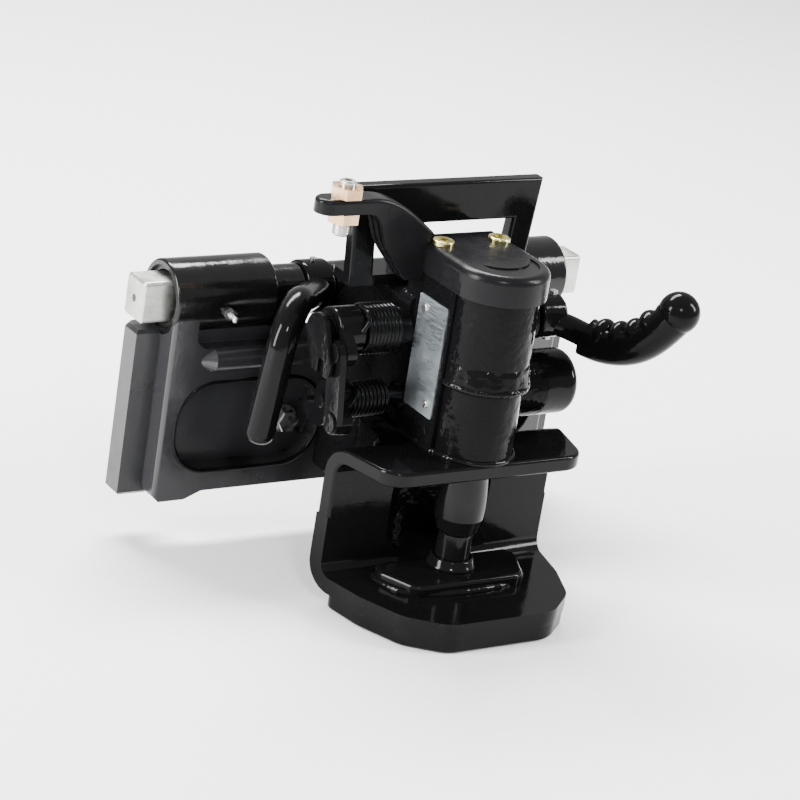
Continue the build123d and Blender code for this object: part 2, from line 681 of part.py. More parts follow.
def make_crank_pin(y, z):
    with BuildPart() as pin:
        disc_x(LEFT_LEVER_X - 5.5, LEFT_LEVER_X + 7.5, y + CRANK_Y, z + CRANK_Z, 5)
        disc_x(LEFT_LEVER_X - 7, LEFT_LEVER_X - 5.5, y + CRANK_Y, z + CRANK_Z, 7.5)
        chamfer(pin.faces().sort_by(Axis.X)[0].edges(), 0.6)
    return pin.part


def make_trigger_shaft():
    with BuildPart() as shaft:
        disc_x(LEFT_LEVER_X, 102, TRIGGER_Y, TRIGGER_Z, TRIGGER_R)
        disc_x(LEFT_LEVER_X - 5, LEFT_LEVER_X, TRIGGER_Y, TRIGGER_Z, 5)
        chamfer(shaft.edges().filter_by(GeomType.CIRCLE).filter_by(lambda e: abs(e.center().X) > 99), 1)
    return shaft.part


def make_lower_lever():
    thick = 8.0
    crank = (TRIGGER_Y + CRANK_Y, TRIGGER_Z + CRANK_Z)
    with BuildPart() as lever:
        disc_x(LEFT_LEVER_X, LEFT_LEVER_X + 15, TRIGGER_Y, TRIGGER_Z, 14.5)
        with BuildSketch(at_x(LEFT_LEVER_X)):
            with Locations((TRIGGER_Y, TRIGGER_Z)):
                Circle(12)
            with Locations(crank):
                Circle(9.5)
            make_hull()
        extrude(amount=thick)
        with BuildSketch(at_x(LEFT_LEVER_X)):
            with BuildLine():
                ThreePointArc((TRIGGER_Y - 6, TRIGGER_Z - 12), (TRIGGER_Y + 8, TRIGGER_Z - 23),
                              (TRIGGER_Y + 27, TRIGGER_Z - 18))
                ThreePointArc((TRIGGER_Y + 27, TRIGGER_Z - 18), (TRIGGER_Y + 31, TRIGGER_Z - 11),
                              (TRIGGER_Y + 25, TRIGGER_Z - 7))
                ThreePointArc((TRIGGER_Y + 25, TRIGGER_Z - 7), (TRIGGER_Y + 17, TRIGGER_Z - 9),
                              (TRIGGER_Y + 13, TRIGGER_Z - 2))
                Line((TRIGGER_Y + 13, TRIGGER_Z - 2), (TRIGGER_Y - 6, TRIGGER_Z - 12))
            make_face()
        extrude(amount=thick)
        disc_x(LEFT_LEVER_X, 0, TRIGGER_Y, TRIGGER_Z, TRIGGER_R + FIT, Mode.SUBTRACT)
        disc_x(LEFT_LEVER_X, 0, *crank, 5 + FIT, Mode.SUBTRACT)
    return lever.part


def make_trigger_finger():
    tip = 66.0
    rest = radians(-28)
    plane = Plane(origin=(-8, TRIGGER_Y, TRIGGER_Z), x_dir=(0, cos(rest), sin(rest)), z_dir=(1, 0, 0))
    with BuildPart() as finger:
        disc_x(-9, 9, TRIGGER_Y, TRIGGER_Z, 14.5)
        with BuildSketch(plane):
            with Locations((0, 0)):
                Circle(12.5)
            with Locations((tip - 8, 0)):
                Circle(7)
            make_hull()
        extrude(amount=16)
        disc_x(-13, 13, TRIGGER_Y, TRIGGER_Z, TRIGGER_R + FIT, Mode.SUBTRACT)
    return finger.part


def make_coil(x0, x1, y, z, radius, wire, turns):
    """Close coil about an axis along X, with both ends pressed flat to the last turn."""
    pitch = (x1 - x0 - wire) / turns
    with BuildPart() as coil:
        with BuildLine():
            path = Helix(pitch=pitch, height=pitch * turns, radius=radius,
                         center=(x0 + wire / 2, y, z), direction=(1, 0, 0))
        with BuildSketch(Plane(origin=path @ 0, z_dir=path % 0)):
            Circle(wire / 2)
        sweep(path=path, is_frenet=True)
    return coil.part


# Carrier

def screw_places():
    """X and Z of the screws that hold both guide bars."""
    heights = (GUIDE_BOTTOM + 20, (GUIDE_BOTTOM + GUIDE_TOP) / 2, GUIDE_TOP - 24)
    return [(side * (GUIDE_INNER + 12), z) for side in (-1, 1) for z in heights]


def make_carrier_plate():
    depth = PLATE_REAR_Y - PLATE_FRONT_Y
    right = [(40, PLATE_MID_Z), (134, PLATE_MID_Z), (148, PLATE_FOOT_Z), (PLATE_HALF - 5, PLATE_FOOT_Z),
             (PLATE_HALF, PLATE_FOOT_Z + 5), (PLATE_HALF, 116)]
    with BuildPart() as plate:
        with BuildSketch(at_y(PLATE_REAR_Y)) as outline:
            with BuildLine():
                Polyline(*right, *[(-x, z) for x, z in reversed(right)], close=True)
            make_face()
            steps = outline.vertices().filter_by(lambda v: 130 < abs(v.X) < 150)
            fillet(steps, 8)
        extrude(amount=depth)
        for side in (-1, 1):
            with BuildSketch(at_y(PLATE_FRONT_Y + 14)):
                with Locations((side * 101, 24)):
                    RectangleRounded(120, 67, 28)
            extrude(amount=20, mode=Mode.SUBTRACT, taper=-8)
            with BuildSketch(at_y(PLATE_FRONT_Y + 9)):
                with Locations((side * 99, 104)):
                    RectangleRounded(108, 30, 10)
            extrude(amount=20, mode=Mode.SUBTRACT, taper=-8)
            inner, outer = side * 42, side * 138
            low, high = sorted((inner, outer))
            disc_x(low, high, PLATE_FRONT_Y + 3, 78, 9.5)
            with BuildSketch(at_x(outer)):
                with Locations((PLATE_FRONT_Y + 3, 78)):
                    Circle(9.5)
            with BuildSketch(at_x(outer + side * 15)):
                with Locations((PLATE_FRONT_Y + 6, 78)):
                    Circle(3)
            loft()
        disc_x(-PLATE_HALF, PLATE_HALF, AXIS_Y, AXIS_Z, TUBE_R + FIT, Mode.SUBTRACT)
        for x, z in screw_places():
            with BuildSketch(at_y(PLATE_REAR_Y)):
                with Locations((x, z)):
                    Circle(5 + FIT)
            extrude(amount=12, mode=Mode.SUBTRACT)
        front = plate.faces().filter_by(Axis.Y).sort_by(Axis.Y)[0]
        fillet(front.outer_wire().edges().filter_by(lambda e: abs(e.center().X) > PLATE_HALF - 1), 3)
    return plate.part


def make_guide_bar(side):
    rear = PLATE_REAR_Y + GUIDE_DEPTH
    x0, x1 = sorted((side * GUIDE_INNER, side * CARRIER_HALF))
    with BuildPart() as bar:
        block(x0, x1, PLATE_REAR_Y, rear, GUIDE_BOTTOM, GUIDE_TOP)
        rear_edges = bar.edges().filter_by(Axis.Z).filter_by(lambda e: e.center().Y > rear - 1)
        chamfer(rear_edges, 6)
        chamfer(bar.faces().filter_by(Axis.Z).edges(), 2.5)
        for x, z in screw_places():
            if x * side > 0:
                with Locations(Location((x, rear, z), (-90, 0, 0))):
                    CounterBoreHole(5 + FIT, 9, 11, depth=GUIDE_DEPTH)
        disc_x(-PLATE_HALF, PLATE_HALF, AXIS_Y, AXIS_Z, TUBE_R + FIT, Mode.SUBTRACT)
    return bar.part


def make_guide_screws():
    with BuildPart() as screws:
        seat = PLATE_REAR_Y + GUIDE_DEPTH - 11
        for x, z in screw_places():
            with BuildSketch(at_y(seat + 10)):
                with Locations((x, z)):
                    Circle(8)
            extrude(amount=10)
            with BuildSketch(at_y(seat + 10)):
                with Locations((x, z)):
                    RegularPolygon(4.6, 6)
            extrude(amount=6, mode=Mode.SUBTRACT)
            with BuildSketch(at_y(seat)):
                with Locations((x, z)):
                    Circle(5)
            extrude(amount=GUIDE_DEPTH)
    return screws.part


def make_pin_tube(side):
    x0, x1 = sorted((side * TUBE_INNER_X, side * PLATE_HALF))
    with BuildPart() as tube:
        with BuildSketch(at_x(x0)):
            with Locations((AXIS_Y, AXIS_Z)):
                Circle(TUBE_R)
                Circle(LOCK_BUSH_R + FIT, mode=Mode.SUBTRACT)
        extrude(amount=x1 - x0)
        fillet(tube.edges().filter_by(GeomType.CIRCLE).filter_by(lambda e: e.radius > TUBE_R - 1), 2)
        disc_z(AXIS_Z - TUBE_R - 1, AXIS_Z - 10, side * 140, AXIS_Y, 4 + FIT, Mode.SUBTRACT)
    return tube.part


def make_lock_bush(side):
    x0, x1 = sorted((side * (TUBE_INNER_X + 2), side * (PLATE_HALF - 3)))
    with BuildPart() as bush:
        with BuildSketch(at_x(x0)):
            with Locations((AXIS_Y, AXIS_Z)):
                Circle(LOCK_BUSH_R)
                Circle(LOCK_PIN_R + FIT, mode=Mode.SUBTRACT)
        extrude(amount=x1 - x0)
        disc_z(AXIS_Z - TUBE_R, AXIS_Z - 10, side * 140, AXIS_Y, 4 + FIT, Mode.SUBTRACT)
    return bush.part


def make_locking_pin(side):
    def span(a, b):
        return sorted((side * a, side * b))

    shoulder = 114.0
    square = LOCK_END_X - 45
    bore_end = CROSS_SHAFT_END + LOCK_TRAVEL + 2
    with BuildPart() as pin:
        disc_x(*span(82, shoulder), AXIS_Y, AXIS_Z, LOCK_SKIRT_R)
        disc_x(*span(shoulder, square), AXIS_Y, AXIS_Z, LOCK_PIN_R)
        x0, x1 = span(square, LOCK_END_X)
        half_z, half_y = LOCK_HEIGHT / 2, LOCK_DEPTH / 2
        with BuildSketch(at_x(x0)):
            with Locations((AXIS_Y, AXIS_Z)):
                RectangleRounded(2 * half_y, 2 * half_z, 3)
        extrude(amount=x1 - x0)
        end = pin.faces().sort_by(Axis.X)[-1 if side > 0 else 0]
        chamfer(end.edges(), 1.5)
        disc_x(*span(LOCK_END_X - 2, LOCK_END_X + 1), AXIS_Y, AXIS_Z, 3, Mode.SUBTRACT)
        disc_x(*span(82, bore_end), AXIS_Y, AXIS_Z, CROSS_SHAFT_R + FIT, Mode.SUBTRACT)
        disc_z(AXIS_Z, AXIS_Z + LOCK_SKIRT_R + 1, side * FOLLOWER_X, AXIS_Y, FOLLOWER_R + FIT, Mode.SUBTRACT)
        k0, k1 = span(140 - 4.5, 140 + LOCK_TRAVEL + 4.5)
        block(k0, k1, AXIS_Y - 4.1, AXIS_Y + 4.1, AXIS_Z - 20, AXIS_Z - 13.5, Mode.SUBTRACT)
    return pin.part


def make_follower_stud(side):
    with BuildPart() as stud:
        disc_z(AXIS_Z + CROSS_SHAFT_R - 3, AXIS_Z + LOCK_SKIRT_R - 0.5, side * FOLLOWER_X, AXIS_Y, FOLLOWER_R)
    return stud.part


def make_pin_guide_screws():
    with BuildPart() as screws:
        for side in (-1, 1):
            disc_z(AXIS_Z - TUBE_R - 5, AXIS_Z - 14, side * 140, AXIS_Y, 4)
            disc_z(AXIS_Z - TUBE_R - 5, AXIS_Z - TUBE_R - 0.2, side * 140, AXIS_Y, 6.5)
    return screws.part


def make_grease_nipples():
    tilt = 12.0
    with BuildPart() as nipples:
        for side in (-1, 1):
            out = Vector(0, -cos(radians(tilt)), -sin(radians(tilt)))
            root = Vector(side * 131, AXIS_Y, AXIS_Z) + out * TUBE_R
            with BuildSketch(Plane(origin=root - out * 1.5, z_dir=out)):
                RegularPolygon(4.6, 6)
            extrude(amount=5.5)
            disc_x(side * 131 - 8, side * 131 + 8, AXIS_Y, AXIS_Z, TUBE_R, Mode.SUBTRACT)
            with BuildSketch(Plane(origin=root + out * 4, z_dir=out)):
                Circle(2.4)
            extrude(amount=5, taper=8)
            with Locations(root + out * 9.4):
                Sphere(2.4)
    return nipples.part


def make_cross_tubes():
    with BuildPart() as tubes:
        for x0, x1 in ((-TUBE_INNER_X, LUG_X - 14), (LUG_X + 14, TUBE_INNER_X)):
            with BuildSketch(at_x(x0)):
                with Locations((AXIS_Y, AXIS_Z)):
                    Circle(CROSS_TUBE_R)
                    Circle(LOCK_SKIRT_R + 0.5, mode=Mode.SUBTRACT)
            extrude(amount=x1 - x0)
    return tubes.part


def helix_groove(side):
    """Solid that cuts the groove in which one follower stud runs."""
    steps = 10
    with BuildPart() as cutter:
        for step in range(steps + 1):
            x = side * (FOLLOWER_X - LOCK_TRAVEL * step / steps)
            angle = radians(90 + ADJUST_ANGLE * step / steps)
            out = Vector(0, cos(angle), sin(angle))
            with BuildSketch(Plane(origin=Vector(x, AXIS_Y, AXIS_Z) + out * 6.6, z_dir=out)):
                Circle(FOLLOWER_R + 0.55)
            extrude(amount=5)
    return cutter.part


def make_cross_shaft():
    with BuildPart() as shaft:
        disc_x(-CROSS_SHAFT_END, CROSS_SHAFT_END, AXIS_Y, AXIS_Z, CROSS_SHAFT_R)
        for side in (-1, 1):
            add(helix_groove(side), mode=Mode.SUBTRACT)
        disc_z(AXIS_Z - 12, AXIS_Z + 12, LUG_X, AXIS_Y, 3 + FIT, Mode.SUBTRACT)
    return shaft.part


def make_handle_lug():
    with BuildPart() as lug:
        disc_x(LUG_X - 12, LUG_X + 12, AXIS_Y, AXIS_Z, 21)
        fillet(lug.edges().filter_by(GeomType.CIRCLE), 2.5)
        disc_x(LUG_X - 12, LUG_X + 12, AXIS_Y, AXIS_Z, CROSS_SHAFT_R + FIT, Mode.SUBTRACT)
        disc_z(AXIS_Z - 22, AXIS_Z + 22, LUG_X, AXIS_Y, 3 + FIT, Mode.SUBTRACT)
    return lug.part


def make_lug_pin():
    with BuildPart() as pin:
        disc_z(AXIS_Z - 23, AXIS_Z + 23, LUG_X, AXIS_Y, 3)
    return pin.part


def make_adjuster_handle():
    route = [(LUG_X, AXIS_Y - 12, AXIS_Z + 1), (-112, 92, 141), (-126, 90, 35)]
    with BuildPart() as handle:
        with BuildLine() as line:
            FilletPolyline(*route, radius=30)
        path = line.wires()[0]
        with BuildSketch(Plane(origin=path @ 0, z_dir=path % 0)):
            Circle(11)
        sweep(path=path)
        tip = handle.faces().sort_by(Axis.Z)[0]
        fillet(tip.edges(), 8)
        disc_x(LUG_X - 40, LUG_X + 40, AXIS_Y, AXIS_Z, 21 + FIT, Mode.SUBTRACT)
    return handle.part


def make_plate_bolt():
    floor = PLATE_FRONT_Y + 14
    with BuildPart() as bolt:
        with BuildSketch(at_y(floor)):
            with Locations((-62, 20)):
                Circle(11)
        extrude(amount=2)
        with BuildSketch(at_y(floor - 2)):
            with Locations((-62, 20)):
                RegularPolygon(9.2, 6)
        extrude(amount=8)
        chamfer(bolt.faces().sort_by(Axis.Y)[0].edges(), 0.8)
    return bolt.part


def make_wire_clip():
    with BuildPart() as clip:
        with BuildLine() as line:
            FilletPolyline((-48, 160, 34), (-48, 151, 34), (-45, 151, 22), (-49, 151, 10), (-49, 160, 10),
                           radius=3)
        path = line.wires()[0]
        with BuildSketch(Plane(origin=path @ 0, z_dir=path % 0)):
            Circle(1.5)
        sweep(path=path)
    return clip.part


os.makedirs("parts", exist_ok=True)

write(make_jaw(), "jaw")
write(make_jaw_bottom_plate(), "jaw_bottom_plate")
write(make_wear_plate(), "wear_plate")
write(make_bush(-JAW_GAP / 2 - 2 * JAW_PLATE, -JAW_GAP / 2 + WEAR_PLATE + 2, LOWER_BUSH_R, PIN_STEM_R + FIT),
      "lower_bush")
write(make_bush(JAW_GAP / 2, UPPER_BUSH_TOP, UPPER_BUSH_R, PIN_BELLY_R + FIT), "upper_bush")
write(make_coupling_pin(), "coupling_pin")
write(make_lifting_stud(), "lifting_stud")

write(make_head_casting(), "head_casting")
write(make_throat_casting(), "throat_casting")
write(make_trigger_cap(), "trigger_cap")
write(make_nameplate(), "nameplate")
write(make_nameplate_rivets(), "nameplate_rivets")
write(make_lid(), "lid")
write(make_lid_gasket(), "lid_gasket")
write(make_lid_bolts(), "lid_bolts")
write(make_cable_adjuster(), "cable_adjuster")
write(make_adjuster_nuts(), "adjuster_nuts")
write(make_top_handle(), "top_handle")
write(make_top_handle_bolts(), "top_handle_bolts")

write(make_shaft_bushes(), "shaft_bushes")
write(make_trigger_bushes(), "trigger_bushes")
write(make_main_shaft(), "main_shaft")
write(make_lifting_fork(), "lifting_fork")
write(make_hub_lever(), "hub_lever")
write(make_cable_lever(), "cable_lever")
write(make_hand_lever(), "hand_lever")
write(make_hand_grip(), "hand_grip")
write(make_lever_pin(), "lever_pin")
write(make_link_bar(), "link_bar")
write(make_crank_pin(SHAFT_Y, SHAFT_Z), "upper_link_pin")
write(make_crank_pin(TRIGGER_Y, TRIGGER_Z), "lower_link_pin")
write(make_trigger_shaft(), "trigger_shaft")
write(make_lower_lever(), "lower_lever")
write(make_trigger_finger(), "trigger_finger")
write(make_coil(-75.5, -45.5, SHAFT_Y, SHAFT_Z, 17.4, 3.4, 8.4), "lever_spring")
write(make_coil(-82, -48, TRIGGER_Y, TRIGGER_Z, 12.5, 3.2, 9), "trigger_spring")

write(make_carrier_plate(), "carrier_plate")
for name, side in (("left", -1), ("right", 1)):
    write(make_guide_bar(side), f"guide_bar_{name}")
    write(make_pin_tube(side), f"pin_tube_{name}")
    write(make_lock_bush(side), f"lock_bush_{name}")
    write(make_locking_pin(side), f"locking_pin_{name}")
    write(make_follower_stud(side), f"follower_stud_{name}")
write(make_guide_screws(), "guide_screws")
write(make_pin_guide_screws(), "pin_guide_screws")
write(make_grease_nipples(), "grease_nipples")
write(make_cross_tubes(), "cross_tubes")
write(make_cross_shaft(), "cross_shaft")
write(make_handle_lug(), "handle_lug")
write(make_lug_pin(), "lug_pin")
write(make_adjuster_handle(), "adjuster_handle")
write(make_plate_bolt(), "plate_bolt")
write(make_wire_clip(), "wire_clip")
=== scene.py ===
import json
import math

import bpy
from mathutils import Matrix, Vector, noise


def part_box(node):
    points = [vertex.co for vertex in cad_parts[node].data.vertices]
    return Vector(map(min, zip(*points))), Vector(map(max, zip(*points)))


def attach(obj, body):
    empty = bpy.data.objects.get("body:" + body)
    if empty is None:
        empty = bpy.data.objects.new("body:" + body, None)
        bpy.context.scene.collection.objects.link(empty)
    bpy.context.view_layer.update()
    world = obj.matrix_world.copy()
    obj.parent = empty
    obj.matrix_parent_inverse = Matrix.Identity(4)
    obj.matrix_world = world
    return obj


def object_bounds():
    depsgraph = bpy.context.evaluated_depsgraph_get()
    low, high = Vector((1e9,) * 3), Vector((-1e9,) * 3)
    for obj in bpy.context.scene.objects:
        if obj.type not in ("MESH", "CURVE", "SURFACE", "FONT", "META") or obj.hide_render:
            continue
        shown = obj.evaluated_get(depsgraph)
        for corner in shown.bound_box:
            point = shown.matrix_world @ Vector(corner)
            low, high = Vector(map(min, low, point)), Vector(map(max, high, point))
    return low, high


# Looks of the automatic trailer coupling, in metres and in the CAD frame.
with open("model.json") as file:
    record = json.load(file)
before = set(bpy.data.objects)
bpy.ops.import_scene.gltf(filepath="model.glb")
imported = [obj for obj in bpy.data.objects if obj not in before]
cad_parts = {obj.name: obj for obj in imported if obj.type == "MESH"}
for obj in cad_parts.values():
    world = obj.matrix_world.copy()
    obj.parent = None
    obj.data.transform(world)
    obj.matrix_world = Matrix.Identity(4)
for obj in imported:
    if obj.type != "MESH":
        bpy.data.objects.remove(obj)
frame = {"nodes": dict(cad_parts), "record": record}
nodes = frame["nodes"]
cad_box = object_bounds()
scene = bpy.context.scene


# Camera

PHOTO = 800                                  # side of the photograph's square frame
FOCAL = 3000.0                               # focal length in photograph pixels
AZIMUTH, ELEVATION, ROLL = -35.43, 21.25, 9.2
DISTANCE = 2.3008                            # from the locking pins' axis
PINNED = Vector((0, 0.172, 0.122))           # middle of the locking pins' axis
PINNED_PIXEL = (361.66, 282.58)              # where it shows in the photograph
SENSOR = 36.0                                # width of the camera's sensor in millimetres
NEAR, FAR = 0.05, 50.0                       # what lies nearer or farther isn't drawn


def make_camera():
    """Camera whose picture shows PINNED at PINNED_PIXEL."""
    az, el, roll = (math.radians(v) for v in (AZIMUTH, ELEVATION, ROLL))
    back = Vector((math.sin(az) * math.cos(el), -math.cos(az) * math.cos(el), math.sin(el)))
    right = Vector((math.cos(az), math.sin(az), 0))
    up = back.cross(right)
    turned_right = right * math.cos(roll) + up * math.sin(roll)
    turned_up = up * math.cos(roll) - right * math.sin(roll)
    across = (PINNED_PIXEL[0] - PHOTO / 2) / FOCAL * DISTANCE
    above = -(PINNED_PIXEL[1] - PHOTO / 2) / FOCAL * DISTANCE
    data = bpy.data.cameras.new("camera")
    camera = bpy.data.objects.new("camera", data)
    scene.collection.objects.link(camera)
    camera.matrix_world = Matrix.Translation(
        PINNED + back * DISTANCE - turned_right * across - turned_up * above) @ Matrix(
        (turned_right, turned_up, back)).transposed().to_4x4()
    data.sensor_width = SENSOR
    data.lens = FOCAL / PHOTO * SENSOR
    data.clip_start = NEAR
    data.clip_end = FAR
    scene.camera = camera


# Materials

class Shader:
    """A node material with short helpers to add and join nodes."""

    def __init__(self, name):
        self.material = bpy.data.materials.new(name)
        self.material.use_nodes = True
        self.tree = self.material.node_tree
        self.surface = self.tree.nodes["Principled BSDF"]
        coords = self.tree.nodes.new("ShaderNodeTexCoord")
        self.place = coords.outputs["Object"]

    def set(self, **values):
        """Sockets of the surface by name, with _ for a space."""
        for key, value in values.items():
            self.surface.inputs[key.replace("_", " ")].default_value = value

    def noise(self, scale, detail=3.0, roughness=0.55, stretch=None):
        node = self.tree.nodes.new("ShaderNodeTexNoise")
        node.inputs["Scale"].default_value = scale
        node.inputs["Detail"].default_value = detail
        node.inputs["Roughness"].default_value = roughness
        place = self.place
        if stretch:
            mapping = self.tree.nodes.new("ShaderNodeMapping")
            mapping.inputs["Scale"].default_value = stretch
            self.tree.links.new(place, mapping.inputs["Vector"])
            place = mapping.outputs["Vector"]
        self.tree.links.new(place, node.inputs["Vector"])
        return node.outputs["Fac"]

    def ramp(self, value, low, high, start=0.0, end=1.0):
        """Value mapped from start..end to low..high."""
        node = self.tree.nodes.new("ShaderNodeMapRange")
        node.inputs["From Min"].default_value = start
        node.inputs["From Max"].default_value = end
        node.inputs["To Min"].default_value = low
        node.inputs["To Max"].default_value = high
        self.tree.links.new(value, node.inputs["Value"])
        return node.outputs["Result"]

    def mix(self, factor, first, second):
        """Colour between first, where factor is 0, and second, where it is 1."""
        node = self.tree.nodes.new("ShaderNodeMix")
        node.data_type = "RGBA"
        node.inputs[6].default_value = (*first, 1)
        node.inputs[7].default_value = (*second, 1)
        self.tree.links.new(factor, node.inputs[0])
        return node.outputs[2]

    def join(self, output, socket):
        self.tree.links.new(output, self.surface.inputs[socket])

    def bump(self, *layers):
        """Bump from (height, distance in metres, strength) layers, the last one on top."""
        last = None
        for height, distance, strength in layers:
            node = self.tree.nodes.new("ShaderNodeBump")
            node.inputs["Distance"].default_value = distance
            node.inputs["Strength"].default_value = strength
            self.tree.links.new(height, node.inputs["Height"])
            if last:
                self.tree.links.new(last, node.inputs["Normal"])
            last = node.outputs["Normal"]
        self.tree.links.new(last, self.surface.inputs["Normal"])


def gloss_black(name, cast, fine=1.0, shine=0.1, dull=0.05, grey=0.003):
    """Thick black gloss paint.

    cast is how wavy the casting under it is, fine how strong its orange peel is, shine its specular
    level, dull its lowest roughness and grey how light its black is.
    """
    shader = Shader(name)
    shader.set(Specular_IOR_Level=shine)
    dark = (grey * 0.7, grey * 0.7, grey * 0.76)
    light = (grey * 1.6, grey * 1.6, grey * 1.76)
    clouds = shader.noise(14, 4)
    haze = shader.noise(38, 4)
    waves = shader.noise(42, 3, 0.5)
    pits = shader.noise(150, 2, 0.5)
    orange_peel = shader.noise(420, 2)
    shader.join(shader.mix(clouds, dark, light), "Base Color")
    shader.join(shader.ramp(haze, dull, dull + 0.12, 0.35, 0.7), "Roughness")
    shader.bump((waves, 0.0016 * cast, 0.9), (pits, 0.0005 * cast, 0.9), (orange_peel, 0.00006 * fine, 0.6))
    return shader.material


def satin_black(name):
    """Thin satin paint over milled bars, with faint draw marks along them."""
    shader = Shader(name)
    clouds = shader.noise(30, 5)
    haze = shader.noise(70, 4)
    draw_marks = shader.noise(60, 3, 0.5, (1, 1, 0.2))
    orange_peel = shader.noise(700, 2)
    shader.join(shader.mix(clouds, (0.008, 0.008, 0.009), (0.018, 0.018, 0.02)), "Base Color")
    shader.join(shader.ramp(haze, 0.26, 0.4, 0.3, 0.7), "Roughness")
    shader.bump((draw_marks, 0.0003, 0.6), (orange_peel, 0.00005, 0.6))
    return shader.material


def bare_metal(name, dark, light, rough, grain=(1, 1, 1), grain_scale=260, blotch_scale=22):
    """Bare or plated metal with blotches and machining grain; grain is how fine it is along each axis."""
    shader = Shader(name)
    shader.set(Metallic=1.0)
    blotches = shader.ramp(shader.noise(blotch_scale, 5), 0, 1, 0.32, 0.68)
    sheen = shader.noise(grain_scale * 0.4, 3, 0.5, grain)
    scratches = shader.noise(grain_scale, 3, 0.6, grain)
    dents = shader.noise(45, 2)
    shader.join(shader.mix(blotches, dark, light), "Base Color")
    shader.join(shader.ramp(sheen, rough * 0.75, rough * 1.3, 0.3, 0.7), "Roughness")
    shader.bump((scratches, 0.00012, 0.55), (dents, 0.0003, 0.3))
    return shader.material


def rubber(name):
    """Dull black rubber with a fine grain."""
    shader = Shader(name)
    clouds = shader.noise(80, 3)
    haze = shader.noise(200, 3)
    grain = shader.noise(500, 2)
    shader.join(shader.mix(clouds, (0.012, 0.012, 0.012), (0.02, 0.02, 0.02)), "Base Color")
    shader.join(shader.ramp(haze, 0.6, 0.8), "Roughness")
    shader.bump((grain, 0.0001, 0.5))
    return shader.material


# Materials by the record's slots.
MATERIALS = {
    "black_paint": gloss_black("black paint", 0.35),
    "black_grip": gloss_black("black grip", 0.12, shine=0.07),
    "black_guides": satin_black("black guides"),
    "black_springs": gloss_black("black springs", 0.1),
    "dark_pin_steel": gloss_black("dark pin steel", 0.04, fine=0.5, shine=0.14, dull=0.04),
    "turned_steel": bare_metal("turned steel", (0.2, 0.2, 0.2), (0.34, 0.34, 0.33), 0.32, grain=(6, 1, 1)),
    "bright_steel": bare_metal("bright steel", (0.32, 0.34, 0.31), (0.58, 0.6, 0.55), 0.4, grain=(1, 1, 5),
                               grain_scale=190, blotch_scale=34),
    "bronze": bare_metal("bronze", (0.3, 0.17, 0.06), (0.46, 0.28, 0.11), 0.3),
    "yellow_zinc": bare_metal("yellow zinc", (0.5, 0.44, 0.16), (0.72, 0.68, 0.36), 0.24, blotch_scale=60),
    "copper_zinc": bare_metal("copper zinc", (0.5, 0.3, 0.16), (0.68, 0.48, 0.3), 0.28, blotch_scale=60),
    "zinc": bare_metal("zinc", (0.42, 0.43, 0.42), (0.62, 0.62, 0.6), 0.28, blotch_scale=60),
    "bare_nameplate": bare_metal("bare nameplate", (0.42, 0.47, 0.5), (0.62, 0.67, 0.7), 0.36,
                                 grain=(1, 1, 14), grain_scale=320, blotch_scale=18),
    "black_rubber": rubber("black rubber"),
}

# Finishes that differ from their slot's, and the nodes that have them.
ROUGH_CAST = gloss_black("rough cast black paint", 1.4, fine=2.0, shine=0.05)
PLATE_CAST = gloss_black("smooth cast black paint", 0.25, fine=2.0, shine=0.5, dull=0.16, grey=0.016)
LID_CAST = gloss_black("lid black paint", 0.15, fine=1.5, shine=0.1, dull=0.2, grey=0.005)
TUBE_PAINT = gloss_black("tube black paint", 0.2, fine=2.5, shine=0.28, dull=0.1)
PRESSED = gloss_black("pressed black paint", 0.12)
WELD = gloss_black("weld black paint", 0.15)
DARK_BUSH = bare_metal("oiled dark bush", (0.03, 0.028, 0.026), (0.07, 0.065, 0.06), 0.3)
FINISHES = (
    (ROUGH_CAST, ("head_casting", "throat_casting")),
    (PLATE_CAST, ("carrier_plate",)),
    (LID_CAST, ("lid",)),
    (TUBE_PAINT, ("pin_tube_left", "pin_tube_right", "cross_tubes")),
    (PRESSED, ("jaw", "jaw_bottom_plate", "wear_plate", "top_handle", "adjuster_handle", "link_bar")),
    (WELD, ("main_shaft", "trigger_shaft")),
    (DARK_BUSH, ("lower_bush", "lock_bush_left", "lock_bush_right", "trigger_bushes", "shaft_bushes")),
)


def paint_nodes():
    """Each node gets its finish, or else its slot's material."""
    finishes = {name: material for material, names in FINISHES for name in names}
    slots = {entry["node"]: entry["material_slot"] for entry in frame["record"]["subparts"]}
    for name, node in nodes.items():
        node.data.materials.clear()
        node.data.materials.append(finishes.get(name, MATERIALS[slots[name]]))


# Soft edges

SOFT_EDGES = {"jaw": 0.0015, "jaw_bottom_plate": 0.0015, "wear_plate": 0.002, "top_handle": 0.0015}
SAME_POINT = 0.00002      # points nearer than this are one
SHARP = 40                # least angle of an edge that is softened, in degrees


def soften_edges():
    """Paint rounds the sharp edges of the plates."""
    for name, width in SOFT_EDGES.items():
        weld = nodes[name].modifiers.new("weld", "WELD")
        weld.merge_threshold = SAME_POINT
        bevel = nodes[name].modifiers.new("bevel", "BEVEL")
        bevel.width = width
        bevel.segments = 3
        bevel.limit_method = "ANGLE"
        bevel.angle_limit = math.radians(SHARP)


# Added pieces, in millimetres

MM = 0.001

